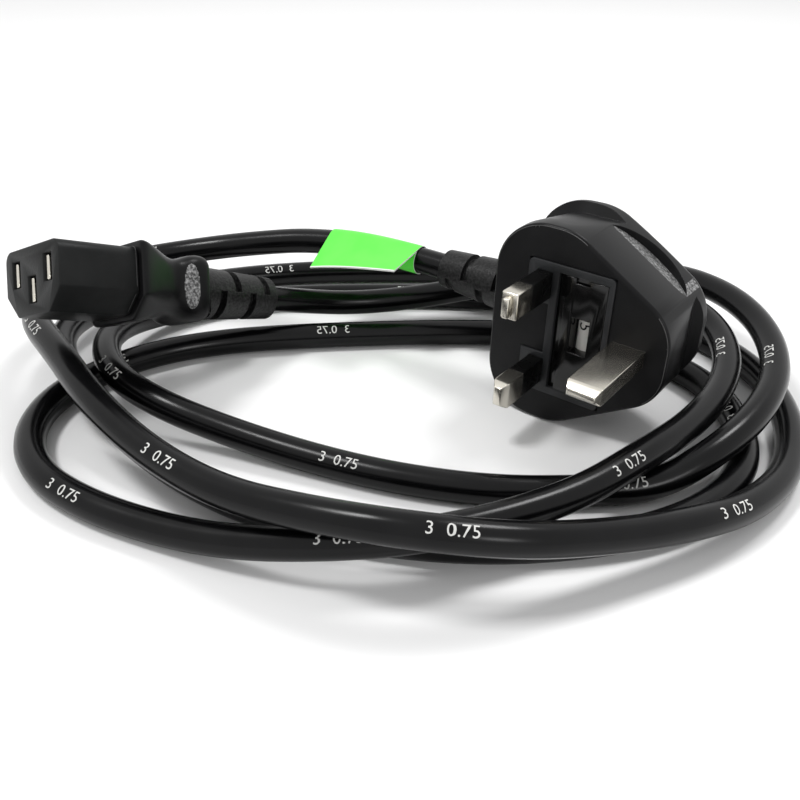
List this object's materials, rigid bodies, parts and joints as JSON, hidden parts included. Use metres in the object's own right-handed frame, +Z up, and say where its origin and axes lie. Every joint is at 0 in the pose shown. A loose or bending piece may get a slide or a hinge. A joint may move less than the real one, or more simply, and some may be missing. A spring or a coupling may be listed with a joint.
{
  "type": "uk three pin plug",
  "caption": "Moulded fused mains plug with sleeved pins and a pull-out fuse carrier, on a loosely coiled round cord that ends in a female appliance connector, with a green flag label",
  "frame": {"origin": "bottom centre of the plug with its strain relief and pins, on the surface that it stands on", "axes": "-Y is the way the pins point, +X runs from the cord's side of the plug to the earth pin's side, +Z is up, with the plug standing on its lower side edge"},
  "size_m": [0.1909, 0.1771, 0.05],
  "materials": {
    "black_pvc": "moulded flexible PVC, satin black",
    "grey_insert": "rigid moulded plastic, dark grey",
    "black_carrier": "glossy black moulded plastic",
    "nickel": "nickel plated brass, bright",
    "pin_sleeve": "black insulating sleeve",
    "fuse_ceramic": "white ceramic tube, smooth",
    "spring_brass": "plain brass strip",
    "wire_blue": "blue insulation",
    "wire_brown": "brown insulation",
    "wire_green_yellow": "green and yellow insulation",
    "connector_plastic": "rigid moulded plastic, fine grain",
    "cord_sheath": "round flexible sheath, satin black",
    "label_green": "bright green coated label"
  },
  "bodies": {
    "lead": {"plug_cover": "black_pvc", "plug_bridge": "grey_insert", "bridge_back": "grey_insert", "line_pin": "nickel", "line_sleeve": "pin_sleeve", "neutral_pin": "nickel", "neutral_sleeve": "pin_sleeve", "earth_pin": "nickel", "line_clip": "spring_brass", "load_clip": "spring_brass", "plug_wire_neutral": "wire_blue", "plug_wire_line": "wire_brown", "plug_wire_earth": "wire_green_yellow", "cord": "cord_sheath", "cord_label": "label_green", "connector_insert": "connector_plastic", "connector_grip": "black_pvc", "contact_neutral": "spring_brass", "contact_line": "spring_brass", "contact_earth": "spring_brass", "connector_wire_neutral": "wire_blue", "connector_wire_line": "wire_brown", "connector_wire_earth": "wire_green_yellow"},
    "fuse_drawer": {"fuse_carrier": "black_carrier", "fuse_tube": "fuse_ceramic", "fuse_cap_line": "nickel", "fuse_cap_load": "nickel", "fuse_wire": "spring_brass"}
  },
  "joints": [
    {"name": "fuse_slide", "type": "slide", "parent": "lead", "child": "fuse_drawer", "axis": [0, -1, 0], "range_m": [0, 0.012]}
  ]
}
